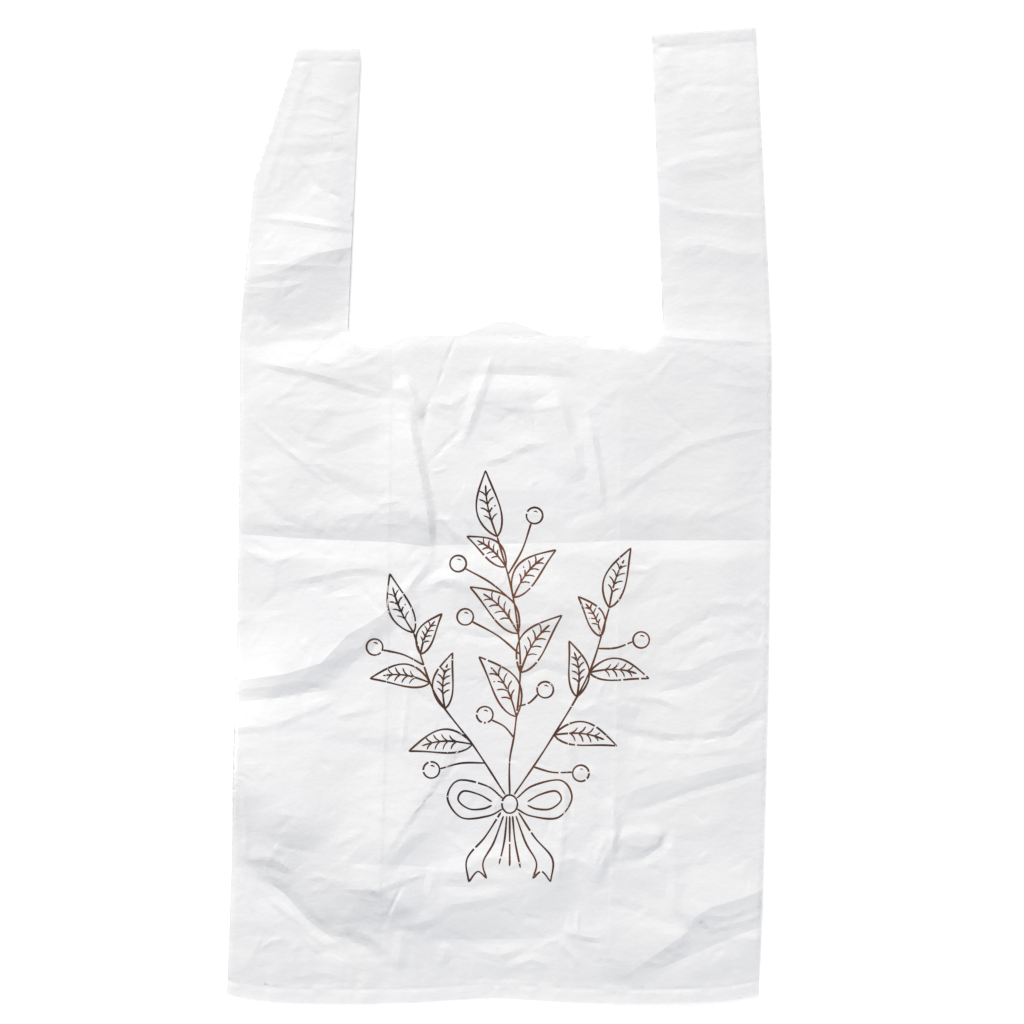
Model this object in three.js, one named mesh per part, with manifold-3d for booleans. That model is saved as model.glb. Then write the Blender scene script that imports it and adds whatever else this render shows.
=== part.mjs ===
// A vest carrier bag of thin plastic film, empty and lying flat on a table.
// Millimetres, +Z up: X runs across the bag, Y from the bottom weld to the handles.
// It is made the way a bag machine makes it. A film tube is tucked in at both sides, pressed flat
// with four layers at the sides and two in the middle, welded across both ends, and punched
// through all its layers, which leaves two looped handles and an open mouth between them.
import * as THREE from "three";
import { mergeVertices } from "three/addons/utils/BufferGeometryUtils.js";
import Module from "manifold-3d";

const wasm = await Module();
wasm.setup();

// The flat bag
const bagWidth = 300; // between the outer side folds
const bagLength = 551; // bottom edge to the top edge of the handles
const gussetDepth = 85; // how far each side is tucked in
const filmThickness = 0.4; // the wall as modelled, and the real film is thinner
const sealInset = 8; // from an end edge to the middle of its weld
const sealWidth = 3;
const sealRib = 0.25; // how proud the weld line stands

// The punched mouth
const handleWidth = 61;
const handleLength = 174; // from the neckline to the top edge of a handle
const mouthRadius = 14; // at the foot of each handle
const mouthDip = 7; // how far the rounded corners reach below the neckline
const mouthRise = 21; // how far a corner takes to come back up to the neckline
const tabFoot = 52; // the tongue that stays on the back film where the bag was torn off its block
const tabTop = 10;
const tabHeight = 8.5;

// How far the empty bag stands off the table
const edgeLoft = 3.4; // at the outer side folds
const sideLoft = 6.2; // over the tucked-in sides
const centreLoft = 9.5; // in the middle
const mouthLoft = 7.5; // at the neckline
const mouthEase = 30; // how far below the neckline the folds die out
const handleLoft = 4.8;
const pressedGap = 0.15; // between two layers that are pressed together
const skirtGap = 0.8; // that opens again between a weld and the end edge
const sealEase = 38; // how far from a weld the film takes to rise to its full height
const ripple = 0.12; // the film never lies dead flat, even where it is pressed
const rippleLength = 8;

// How the film lies, seen from above
const footSway = -3.4; // sideways shift of the bottom edge
const neckSway = 3.8; // sideways shift at the neckline
const leftLean = 7.5; // how far each handle's inner edge leans inwards at its top
const rightLean = 6.5;
const leftSqueeze = 8; // how much narrower each handle lies at its top than it was cut
const rightSqueeze = 2;
const leftDrop = 12.5; // how much shorter each handle lies than it was cut
const rightDrop = 4; // on its inner edge alone, so its top edge tilts
const cornerRise = 5.5; // how far the bottom corners are drawn up
const humpRise = 3; // and the middle of the bottom edge
const humpSpread = 35;

// The outer corner of the left handle, folded under
const foldDown = 78; // where the fold meets the side, from the top edge
const foldAcross = 20; // where it meets the top edge, from the side
const foldClearance = 0.5; // between the handle and the folded corner under it
const foldBulge = 1.1; // how far the rounded fold stands out sideways
const foldMargin = 10; // how far past the folded corner the handle stays lifted
const foldEase = 16; // and how much farther it takes to come back down

// Facets
const panelPitch = 14; // across the front
const backPitch = 25;
const gussetPitch = 21;
const stationPitch = 15.5; // along the bag
const sealPitch = 27; // across a weld
const endStations = [0, 4.5, 11.5, 18, 27]; // nearer together beside a weld
const sliver = 0.01; // the finest detail kept
const flatHeight = 0.0015; // below this a triangle is no face

// Fold lines in the film. Each is a line of points on the laid bag, how high it stands above the
// film round it, negative for a valley, and how far the film takes to level out on either side.
// The left side is the left hand of someone walking the line.
const creases = [
  // Where the bag was folded across in its pack, and at the shoulders
  { line: [[-150, -11], [-60, -15], [156, -14]], rise: -2.4, left: 30, right: 18 },
  { line: [[-150, 101], [-84, 104]], rise: -2, left: 44, right: 18 },
  { line: [[-140, 87], [-110, 82], [-60, 69]], rise: 1.8, left: 18, right: 12 },
  { line: [[88, 101], [156, 98]], rise: 1.2, left: 12, right: 12 },
  // Upright folds below the mouth, where it was folded lengthwise
  { line: [[-38, -20], [-44, 40], [-51, 82]], rise: 1.8, left: 24, right: 12 },
  { line: [[50, 14], [41, 45], [33, 76]], rise: -1.6, left: 14, right: 12 },
  // The lower body
  { line: [[-154, -109], [-90, -99], [-55, -70]], rise: -2.2, left: 16, right: 16 },
  { line: [[62, -158], [95, -150], [156, -135]], rise: 2.2, left: 30, right: 13 },
  { line: [[60, -262], [95, -242], [112, -228], [152, -206]], rise: 2.6, left: 34, right: 14 },
  { line: [[-66, -232], [-28, -219], [22, -208], [60, -196]], rise: 2.2, left: 26, right: 18 },
  { line: [[-120, -180], [-95, -130], [-70, -118]], rise: 1.6, left: 32, right: 40 },
  // The handles
  { line: [[-140, 167], [-80, 161]], rise: 1.2, left: 14, right: 12 },
  { line: [[88, 197], [152, 206]], rise: 1.1, left: 16, right: 12 },
  { line: [[90, 152], [152, 149]], rise: 1.1, left: 14, right: 12 },
];

const neckline = bagLength - handleLength;
const halfWidth = bagWidth / 2;
const layerCount = 4;
const slot = 1; // between two layers in the drawn section, before the film is laid
const layerPitch = filmThickness + slot;
const sectionHeight = layerCount * filmThickness + (layerCount - 1) * slot;
const foldRadius = filmThickness + slot / 2;
const pressedStack = layerCount * filmThickness + (layerCount - 1) * pressedGap;
const foldLift = pressedStack + foldClearance;

const { smoothstep, clamp, lerp } = THREE.MathUtils;

// Where a point of the flat pattern lies on the table: u from the middle, v from the bottom edge.
function planPoint(u, v) {
  const toNeck = clamp(1 - v / neckline, 0, 1);
  const sway = neckSway - (neckSway - footSway) * toNeck * toNeck;
  const upHandle = clamp((v - neckline) / handleLength, 0, 1);
  const rightward = smoothstep(u, -halfWidth / 3, halfWidth / 3);
  const outwards = clamp((Math.abs(u) - halfWidth + handleWidth) / handleWidth, 0, 1);
  const leftShift = leftLean + leftSqueeze * outwards;
  const rightShift = -rightLean - rightSqueeze * outwards;
  const lean = lerp(leftShift, rightShift, rightward) * upHandle;
  const drop = lerp(leftDrop, rightDrop * (1 - outwards), rightward) * upHandle;
  const nearFoot = 1 - smoothstep(v, 0, sealEase * 2);
  const corners = cornerRise * Math.abs(u / halfWidth) ** 8;
  const hump = humpRise * Math.exp(-((u / humpSpread) ** 2));
  return new THREE.Vector2(u + sway + lean, v - bagLength / 2 - drop + (corners + hump) * nearFoot);
}

// Height that a fold line adds at a point of the table.
function creaseHeight({ line, rise, left, right }, at) {
  let nearest = Infinity;
  let side = 1;
  line.slice(1).forEach(([endX, endY], i) => {
    const [startX, startY] = line[i];
    const along = new THREE.Vector2(endX - startX, endY - startY);
    const offset = new THREE.Vector2(at.x - startX, at.y - startY);
    const share = clamp(offset.dot(along) / along.lengthSq(), 0, 1);
    const gap = offset.clone().addScaledVector(along, -share);
    if (gap.length() < nearest) {
      nearest = gap.length();
      side = along.cross(gap);
    }
  });
  return rise * smoothstep(1 - nearest / (side > 0 ? left : right), 0, 1);
}

// The fold across the left handle's corner, and the corner's side edge once it lies folded under.
const foldFoot = planPoint(-halfWidth, bagLength - foldDown);
const foldHead = planPoint(-halfWidth + foldAcross, bagLength);
const foldAlong = foldHead.clone().sub(foldFoot).normalize();
const freeCorner = planPoint(-halfWidth, bagLength);
const tuckedCorner = reflected(freeCorner);

function reflected(point) {
  const offset = point.clone().sub(foldFoot);
  const along = foldAlong.clone().multiplyScalar(offset.dot(foldAlong));
  return foldFoot.clone().add(along.multiplyScalar(2)).sub(offset);
}

// 1 where the handle lies over its folded corner, 0 well away from it.
function overFold(at) {
  const edge = tuckedCorner.clone().sub(foldFoot).normalize();
  const beyond = edge.cross(at.clone().sub(foldFoot));
  return smoothstep(beyond, -foldMargin - foldEase, -foldMargin);
}

// Height of the front film's outer face above the back film's, between the welds.
function looseStack(u, v, at) {
  const fromSide = halfWidth - Math.abs(u);
  const side = lerp(edgeLoft, sideLoft, smoothstep(fromSide, 0, gussetDepth / 3));
  const middle = lerp(centreLoft, mouthLoft, smoothstep(v, neckline - 2 * handleWidth, neckline));
  const body = lerp(side, middle, smoothstep(fromSide, gussetDepth * 0.7, gussetDepth * 1.2));
  const handle = lerp(edgeLoft, handleLoft, smoothstep(fromSide, 0, handleWidth / 3));
  const onHandle = smoothstep(v, neckline - mouthRadius, neckline + handleWidth / 2);
  const folds = creases.reduce((sum, crease) => sum + creaseHeight(crease, at), 0);
  const untucked = smoothstep(fromSide, gussetDepth * 0.7, gussetDepth);
  const nearMouth = smoothstep(v, neckline - mouthEase, neckline);
  return lerp(body, handle, onHandle) + folds * (1 - untucked * nearMouth);
}

// Height of the whole stack of layers, and how far it is lifted off the table.
function stackAt(u, v, at) {
  const fromEnd = Math.min(v, bagLength - v);
  const pastSeal = fromEnd - sealInset - sealWidth;
  const open = smoothstep(pastSeal, 0, sealEase);
  const skirt = skirtGap * clamp(1 - fromEnd / (sealInset - sealWidth), 0, 1);
  const loose = Math.max(looseStack(u, v, at), pressedStack + skirtGap);
  const folded = u < 0 ? overFold(at) : 0;
  const uneven = ripple * (1 + Math.sin(at.x / rippleLength) * Math.cos(at.y / rippleLength));
  const stack = lerp(lerp(pressedStack + skirt, loose, open), pressedStack, folded) + uneven;
  return { stack, lift: foldLift * folded };
}

// Lays one point of the drawn section on the table. A layer of film keeps its thickness, and the
// slots between the layers share out the height that is left.
function lay(u, s, v) {
  const at = planPoint(u, v);
  const { stack, lift } = stackAt(u, v, at);
  const layer = clamp(Math.floor(s / layerPitch), 0, layerCount - 1);
  const within = s - layer * layerPitch;
  const filmBelow = layer * filmThickness + Math.min(within, filmThickness);
  const slotBelow = layer * slot + clamp(within - filmThickness, 0, slot);
  const slotShare = slotBelow / ((layerCount - 1) * slot);
  const proud = Math.max(s - sectionHeight, 0);
  const spare = stack - layerCount * filmThickness;
  return new THREE.Vector3(at.x, at.y, lift + filmBelow + slotShare * spare + proud);
}

function solid(geometry) {
  const bare = geometry.clone().deleteAttribute("normal").deleteAttribute("uv");
  const merged = mergeVertices(bare, 1e-4);
  const vertProperties = merged.attributes.position.array;
  const triVerts = new Uint32Array(merged.index.array);
  return new wasm.Manifold(new wasm.Mesh({ numProp: 3, vertProperties, triVerts }));
}

function geometryOf(manifold) {
  const mesh = manifold.getMesh();
  const geometry = new THREE.BufferGeometry();
  geometry.setAttribute("position", new THREE.BufferAttribute(mesh.vertProperties, 3));
  geometry.setIndex(new THREE.BufferAttribute(mesh.triVerts, 1));
  return geometry;
}

// A straight run of the drawn section, in steps short enough to bend with the film.
function runTo(path, endX, height, pitch) {
  const startX = path.currentPoint.x;
  const steps = Math.max(1, Math.round(Math.abs(endX - startX) / pitch));
  for (let i = 1; i <= steps; i++) path.lineTo(lerp(startX, endX, i / steps), height);
}

// One face of the film all the way round the tucked-in tube, as points of the drawn section.
// inset is 0 for the outer face and the film's thickness for the inner one.
function tubeFace(inset) {
  const path = new THREE.Path();
  const foldX = halfWidth - foldRadius;
  const tuckX = halfWidth - gussetDepth + foldRadius;
  const outer = foldRadius - inset;
  const tuck = slot / 2 + inset;
  const down = -Math.PI / 2;
  const up = Math.PI / 2;
  const middle = sectionHeight / 2;
  const lowFold = foldRadius;
  const highFold = sectionHeight - foldRadius;
  path.moveTo(-foldX, inset);
  runTo(path, foldX, inset, backPitch);
  path.absarc(foldX, lowFold, outer, down, up, false);
  runTo(path, tuckX, middle - tuck, gussetPitch);
  path.absarc(tuckX, middle, tuck, down, up, true);
  runTo(path, foldX, middle + tuck, gussetPitch);
  path.absarc(foldX, highFold, outer, down, up, false);
  runTo(path, -foldX, sectionHeight - inset, panelPitch);
  path.absarc(-foldX, highFold, outer, up, up + Math.PI, false);
  runTo(path, -tuckX, middle + tuck, gussetPitch);
  path.absarc(-tuckX, middle, tuck, up, down, true);
  runTo(path, -foldX, middle - tuck, gussetPitch);
  path.absarc(-foldX, lowFold, outer, up, up + Math.PI, false);
  const points = path.getPoints(1);
  return points.filter((point, i) => point.distanceTo(points[(i + 1) % points.length]) > 1e-6);
}

// Where the cross sections stand along the bag.
function stations() {
  const last = endStations[endStations.length - 1];
  const steps = Math.round((bagLength - 2 * last) / stationPitch);
  const far = bagLength - last;
  const between = Array.from({ length: steps - 1 }, (_, i) => lerp(last, far, (i + 1) / steps));
  return [...endStations, ...between, ...endStations.map((v) => bagLength - v).reverse()];
}

// The laid tube, skinned over its cross sections: up the bag on the outer face, and back down on
// the inner one.
function filmTube() {
  const along = stations();
  const ring = (face, v) => face.map((point) => lay(point.x, point.y, v));
  const outside = along.map((v) => ring(tubeFace(0), v));
  const inside = along.map((v) => ring(tubeFace(filmThickness), v)).reverse();
  return solid(closedSkin([...outside, ...inside]));
}

// A surface through a list of rings of points, closed round each ring and from the last ring to
// the first.
function closedSkin(rings) {
  const around = rings[0].length;
  const index = [];
  rings.forEach((_, j) => {
    const next = (j + 1) % rings.length;
    for (let i = 0; i < around; i++) {
      const beside = (i + 1) % around;
      const [a, b] = [j * around + i, j * around + beside];
      const [c, d] = [next * around + i, next * around + beside];
      index.push(a, c, b, b, c, d);
    }
  });
  return new THREE.BufferGeometry().setFromPoints(rings.flat()).setIndex(index);
}

// A weld fuses every layer across the bag and leaves a thin raised line on the front.
function weld(middleV) {
  const width = bagWidth - filmThickness;
  const height = sectionHeight + sealRib - filmThickness / 2;
  const bar = new THREE.BoxGeometry(width, sealWidth, height, Math.round(width / sealPitch), 1, 1);
  bar.translate(0, middleV, filmThickness / 2 + height / 2);
  const position = bar.attributes.position;
  for (let i = 0; i < position.count; i++) {
    position.setXYZ(i, ...lay(position.getX(i), position.getZ(i), position.getY(i)));
  }
  return solid(bar);
}

function prism(outline, low, high) {
  const options = { depth: high - low, bevelEnabled: false };
  return new THREE.ExtrudeGeometry(new THREE.Shape(outline), options).translate(0, 0, low);
}

// A cutter that goes through the laid bag, from an outline on the flat pattern.
function cutter(shape, low, high) {
  return solid(prism(shape.getPoints(6).map(({ x, y }) => planPoint(x, y)), low, high));
}

// The waste between the handles, as the die cuts it out of every layer.
function mouthWaste() {
  const inner = halfWidth - handleWidth;
  const floor = neckline - mouthDip;
  const above = bagLength + sealInset;
  const centre = inner - mouthRadius;
  const cornerEnd = centre - mouthRise;
  const risen = cornerEnd + mouthRise / 3;
  const falling = inner - mouthRadius * 1.6;
  const [left, bottom, right] = [Math.PI, 1.5 * Math.PI, 2 * Math.PI];
  const shape = new THREE.Shape();
  shape.moveTo(-inner, above);
  for (let v = above; v > floor + mouthRadius; v -= stationPitch * 2) shape.lineTo(-inner, v);
  shape.absarc(-centre, floor + mouthRadius, mouthRadius, left, bottom, false);
  shape.bezierCurveTo(-falling, floor, -risen, neckline, -cornerEnd, neckline);
  shape.lineTo(-tabFoot / 2, neckline);
  shape.lineTo(-tabTop / 2, neckline + tabHeight);
  shape.lineTo(tabTop / 2, neckline + tabHeight);
  shape.lineTo(tabFoot / 2, neckline);
  shape.lineTo(cornerEnd, neckline);
  shape.bezierCurveTo(risen, neckline, falling, floor, centre, floor);
  shape.absarc(centre, floor + mouthRadius, mouthRadius, bottom, right, false);
  for (let v = floor + mouthRadius * 2; v < above; v += stationPitch * 2) shape.lineTo(inner, v);
  shape.lineTo(inner, above);
  return cutter(shape, -1, centreLoft * 3);
}

// The tongue was torn off the front film, and stays on the back one.
function frontTabWaste() {
  const shape = new THREE.Shape();
  shape.moveTo(-tabFoot, neckline);
  shape.lineTo(tabFoot, neckline);
  shape.lineTo(tabFoot, neckline + 2 * tabHeight);
  shape.lineTo(-tabFoot, neckline + 2 * tabHeight);
  return cutter(shape, mouthLoft / 2, centreLoft * 3);
}

// Folds the left handle's outer corner under: the corner is cut off along the fold, and lies
// turned over beneath the handle, pressed so flat that it is modelled solid.
function foldCornerUnder(bag) {
  const reach = handleWidth;
  const outwards = new THREE.Vector2(-foldAlong.y, foldAlong.x);
  const foot = foldFoot.clone().addScaledVector(foldAlong, -reach);
  const head = foldHead.clone().addScaledVector(foldAlong, reach);
  const outer = [head, foot].map((end) => end.clone().addScaledVector(outwards, reach));
  const side = solid(prism([foot, head, ...outer], -1, centreLoft * 3));
  const corner = solid(prism([foldFoot, foldHead, tuckedCorner], 0, pressedStack));
  return bag.subtract(side).add(corner).add(roundedFold());
}

// The folded edge itself, half an ellipse in section, biting into the handle and the corner.
function roundedFold() {
  const middle = foldLift - foldClearance / 2;
  const height = middle - filmThickness / 4;
  const length = foldFoot.distanceTo(foldHead) - 2 * foldBulge;
  const bite = 1;
  const outline = new THREE.Shape();
  outline.moveTo(bite, -height);
  outline.lineTo(bite, height);
  outline.lineTo(0, height);
  outline.absellipse(0, 0, foldBulge, height, Math.PI / 2, 1.5 * Math.PI, false);
  const options = { depth: length, bevelEnabled: false, curveSegments: 4 };
  const roll = new THREE.ExtrudeGeometry(outline, options);
  const across = new THREE.Vector3(foldAlong.y, -foldAlong.x, 0);
  const along = new THREE.Vector3(-foldAlong.x, -foldAlong.y, 0);
  const basis = new THREE.Matrix4().makeBasis(across, new THREE.Vector3(0, 0, 1), along);
  const start = foldHead.clone().addScaledVector(foldAlong, -foldBulge);
  basis.setPosition(start.x, start.y, middle);
  return solid(roll.applyMatrix4(basis));
}

// Cutting can leave a triangle with no height, whose third corner lies on its long edge. That edge
// is swapped for one from the third corner to the far corner of the triangle behind it.
function withoutFlats(geometry) {
  const index = Array.from(geometry.index.array);
  const position = geometry.attributes.position;
  const corner = (vertex) => new THREE.Vector3().fromBufferAttribute(position, vertex);
  const behind = (a, c) => {
    for (let t = 0; t < index.length; t += 3) {
      for (let k = 0; k < 3; k++) {
        if (index[t + k] === c && index[t + ((k + 1) % 3)] === a) return [t, index[t + ((k + 2) % 3)]];
      }
    }
    return null;
  };
  for (let t = 0; t < index.length; t += 3) {
    for (let k = 0; k < 3; k++) {
      const [a, c, b] = [0, 1, 2].map((step) => index[t + ((k + step) % 3)]);
      const edge = new THREE.Line3(corner(a), corner(c));
      const share = edge.closestPointToPointParameter(corner(b), false);
      const height = edge.at(share, new THREE.Vector3()).distanceTo(corner(b));
      if (height > flatHeight || share <= 0 || share >= 1) continue;
      const [other, d] = behind(a, c);
      index.splice(t, 3, b, a, d);
      index.splice(other, 3, b, d, c);
      break;
    }
  }
  return geometry.clone().setIndex(index);
}

function carrierBag() {
  const welded = filmTube().add(weld(sealInset)).add(weld(bagLength - sealInset));
  const punched = welded.subtract(mouthWaste()).subtract(frontTabWaste());
  // Cutting leaves slivers far thinner than the film, which a solid can't hold as faces.
  return withoutFlats(geometryOf(foldCornerUnder(punched).simplify(sliver)));
}

const film = new THREE.MeshStandardMaterial({ color: 0xedf0f3, roughness: 0.38 });
const bag = new THREE.Mesh(carrierBag(), film);
bag.name = "carrier_bag";
// The origin is on the table, under the middle of the laid bag.
const laid = new THREE.Box3().setFromObject(bag);
const middle = laid.getCenter(new THREE.Vector3());
bag.position.set(-middle.x, -middle.y, -laid.min.z);

const part = new THREE.Group();
part.add(bag);
export default part;
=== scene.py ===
# %% [markdown]
# # A vest carrier bag, lying empty
#
# The bag is one piece of blown plastic film, a few hundredths of a millimetre thick. A film tube is
# tucked in at both sides, pressed flat, welded across both ends and punched, which leaves two
# looped handles and a mouth. Here it lies on a table, creased where it was folded in its pack.
#
# The frame is loaded first, because the CAD model settles how large the bag is and where it lies.
# Everything below is worked out in millimetres, as a bag maker would, and turned into metres when a
# mesh is made.

# %% Load the frame
import math

import bmesh
import bpy
import numpy as np
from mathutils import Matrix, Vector
from mathutils.bvhtree import BVHTree
from mathutils.geometry import delaunay_2d_cdt
from mathutils.kdtree import KDTree


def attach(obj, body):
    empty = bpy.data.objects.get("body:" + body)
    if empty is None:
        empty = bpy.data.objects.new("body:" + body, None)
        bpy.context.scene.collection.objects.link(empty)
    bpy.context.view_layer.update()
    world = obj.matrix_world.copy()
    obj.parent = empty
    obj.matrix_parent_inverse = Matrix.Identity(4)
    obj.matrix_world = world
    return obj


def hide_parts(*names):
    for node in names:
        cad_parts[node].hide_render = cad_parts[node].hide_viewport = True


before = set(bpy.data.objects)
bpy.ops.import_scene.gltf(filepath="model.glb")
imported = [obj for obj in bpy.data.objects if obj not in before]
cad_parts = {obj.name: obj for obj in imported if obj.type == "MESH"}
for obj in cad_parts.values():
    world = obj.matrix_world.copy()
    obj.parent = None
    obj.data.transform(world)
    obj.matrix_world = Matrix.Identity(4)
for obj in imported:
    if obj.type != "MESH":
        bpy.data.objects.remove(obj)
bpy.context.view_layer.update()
MM = 0.001

# %% [markdown]
# ## Camera
#
# The bag was photographed from straight above, from far enough away that its sides hardly lean.
# The camera comes early, before the bag is built. A long lens
# keeps the outline true.

# %% The camera looks straight down
LENS = 85
SENSOR = 36
CAMERA_HEIGHT = 1.366
CAMERA_ABOVE = (0.0073, 0.0020)


def add_object(name, data):
    made = bpy.data.objects.new(name, data)
    bpy.context.scene.collection.objects.link(made)
    return made


camera = add_object("camera", bpy.data.cameras.new("camera"))
bpy.context.scene.camera = camera
camera.data.lens = LENS
camera.data.sensor_width = SENSOR
camera.location = (*CAMERA_ABOVE, CAMERA_HEIGHT)
print("width seen on the table, mm:", round(CAMERA_HEIGHT * SENSOR / LENS / MM, 1))

# %% [markdown]
# ## The flat pattern
#
# A point of the film is known by two numbers: u, its distance across the bag from the middle, and
# v, its distance along the bag from the bottom edge. The same numbers and the same small shifts as
# in the CAD source say where that point lies on the table, so the dressed bag and the solid agree.

# %% Sizes of the bag, in millimetres
BAG_WIDTH = 300.0
BAG_LENGTH = 551.0
GUSSET_DEPTH = 85.0
SEAL_INSET = 8.0
SEAL_WIDTH = 3.0
HANDLE_WIDTH = 61.0
HANDLE_LENGTH = 174.0
MOUTH_RADIUS = 14.0
MOUTH_DIP = 7.0
MOUTH_RISE = 21.0
TAB_FOOT = 52.0
TAB_TOP = 10.0
TAB_HEIGHT = 8.5
HALF = BAG_WIDTH / 2
TUCK = HALF - GUSSET_DEPTH
NECKLINE = BAG_LENGTH - HANDLE_LENGTH


def smoothstep(x, low, high):
    t = np.clip((x - low) / (high - low), 0, 1)
    return t * t * (3 - 2 * t)


def lerp(a, b, t):
    return a + (b - a) * t


# %% How the pattern lies on the table
FOOT_SWAY, NECK_SWAY = -3.6, 3.6
LEFT_LEAN, RIGHT_LEAN = 7.5, 6.5
LEFT_SQUEEZE, RIGHT_SQUEEZE = 8.0, 2.0
LEFT_DROP, RIGHT_DROP = 12.5, 4.0
CORNER_RISE, HUMP_RISE, HUMP_SPREAD = 5.5, 3.0, 35.0
SEAL_EASE = 38.0


def plan(u, v):
    """Where points of the flat pattern lie on the table, seen from above."""
    to_neck = np.clip(1 - v / NECKLINE, 0, 1)
    sway = NECK_SWAY - (NECK_SWAY - FOOT_SWAY) * to_neck**2
    up = np.clip((v - NECKLINE) / HANDLE_LENGTH, 0, 1)
    rightward = smoothstep(u, -HALF / 3, HALF / 3)
    outwards = np.clip((np.abs(u) - HALF + HANDLE_WIDTH) / HANDLE_WIDTH, 0, 1)
    left_shift = LEFT_LEAN + LEFT_SQUEEZE * outwards
    right_shift = -RIGHT_LEAN - RIGHT_SQUEEZE * outwards
    lean = lerp(left_shift, right_shift, rightward) * up
    drop = lerp(LEFT_DROP, RIGHT_DROP * (1 - outwards), rightward) * up
    near_foot = 1 - smoothstep(v, 0, SEAL_EASE * 2)
    corners = CORNER_RISE * np.abs(u / HALF) ** 8
    hump = HUMP_RISE * np.exp(-((u / HUMP_SPREAD) ** 2))
    return u + sway + lean, v - BAG_LENGTH / 2 - drop + (corners + hump) * near_foot


def unplan(x, y):
    """The point of the flat pattern that lies at each place on the table, found by stepping closer."""
    u, v = x.copy(), y + BAG_LENGTH / 2
    for _ in range(10):
        near_x, near_y = plan(u, v)
        u, v = u + x - near_x, v + y - near_y
    return u, v


def resample(line, step):
    """The same line with its points about one step apart."""
    travelled = np.r_[0, np.cumsum(np.linalg.norm(np.diff(line, axis=0), axis=1))]
    marks = np.linspace(0, travelled[-1], max(2, int(travelled[-1] / step) + 1))
    return np.stack([np.interp(marks, travelled, line[:, i]) for i in (0, 1)], -1)


corner_x, corner_y = plan(np.array([-HALF, HALF]), np.array([BAG_LENGTH, BAG_LENGTH]))
print("top corners of the handles, mm:", corner_x.round(1), corner_y.round(1))

# %% [markdown]
# ## Folds and creases
#
# Real film keeps a sharp line wherever it was folded, and the film on each side of that line stays
# nearly flat. So a crease is a line of points with a height, and with a reach on each side: a short
# reach makes a steep strip, and a long one a gentle slope. The lines were chosen from the
# photo. A list of lines suits this better than noise, because the photo shows where the folds are.
# Walking a line, `left` is the reach on the left hand and `right` the reach on the right hand.

# %% A crease as a height
END_SHARE, LEAST_FULL = 0.28, 0.1
LEAST_REACH = 0.45


def narrowing(travelled, total):
    """How full a crease is along its length: 1 in the middle, dying out towards both ends."""
    to_end = np.minimum(travelled, total - travelled)
    return np.sin(math.pi / 2 * np.clip(to_end / (END_SHARE * total), LEAST_FULL, 1))


def reach_share(fullness):
    return LEAST_REACH + (1 - LEAST_REACH) * fullness


def crease_height(x, y, line, rise, left, right, sharp=1.0):
    """Height that a crease adds at each point: rise on the line, falling to nothing at its reach."""
    nearest = np.full(x.shape, np.inf)
    side = np.ones(x.shape)
    travelled = np.zeros(x.shape)
    points = np.array(line, float)
    spans = np.linalg.norm(np.diff(points, axis=0), axis=1)
    for i, span in enumerate(spans):
        ax, ay = points[i]
        dx, dy = (points[i + 1] - points[i]) / span
        along = np.clip((x - ax) * dx + (y - ay) * dy, 0, span)
        gap_x, gap_y = x - ax - along * dx, y - ay - along * dy
        gap = np.hypot(gap_x, gap_y)
        closer = gap < nearest
        nearest = np.where(closer, gap, nearest)
        side = np.where(closer, dx * gap_y - dy * gap_x, side)
        travelled = np.where(closer, spans[:i].sum() + along, travelled)
    fullness = narrowing(travelled, spans.sum())
    reach = np.where(side > 0, left, right) * reach_share(fullness)
    return rise * fullness * np.clip(1 - nearest / reach, 0, 1) ** sharp


def add_crease(height, x, y, line, rise, left, right, sharp=1.0, rounded=False):
    """Adds a crease to the heights, at the points that lie near enough to feel it."""
    points = np.array(line, float)
    low, high = points.min(0) - max(left, right), points.max(0) + max(left, right)
    near = np.flatnonzero((x > low[0]) & (x < high[0]) & (y > low[1]) & (y < high[1]))
    if len(near):
        added = crease_height(x[near], y[near], line, rise, left, right, sharp)
        height[near] += rise * smoothstep(added / rise, 0, 1) if rounded else added


# %% Broad folds
BROAD_FOLDS = [
    # rise, left, right, line
    (-1.7, 16, 13, [(-153, -10), (-110, -13), (-60, -15), (-36, -18)]),
    (-0.7, 14, 10, [(-46, -17), (0, -16), (50, -15)]),
    (-1.5, 15, 11, [(38, -16), (66, -14), (156, -14)]),
    (-2.8, 40, 18, [(-152, 101), (-79, 104)]),
    (2.6, 40, 40, [(-145, 132), (-120, 138.5), (-103, 147), (-79, 152)]),
    (2.4, 36, 13, [(-155, -94), (-120, -89), (-100, -83), (-85, -67), (-66, -56), (-52, -42)]),
    (-1.0, 14, 20, [(-150, -190), (-137, -201), (-120, -214), (-108, -228), (-96, -237), (-66, -256)]),
    (-0.5, 8, 16, [(-40, -239), (0, -239), (35, -238)]),
    (0.9, 30, 10, [(64, -160), (77, -154.4), (91, -150), (108, -146.6), (125, -141.7), (153, -137)]),
    (2.5, 36, 12, [(60, -265), (71, -259.6), (94, -243), (108, -233)]),
    (2.0, 24, 15, [(106, -235), (110, -226), (120, -220), (133, -216.5), (153, -209)]),
    (-0.8, 8, 10, [(80, -259), (94, -254), (108, -248), (122, -242), (133, -237), (153, -230)]),
]

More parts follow.
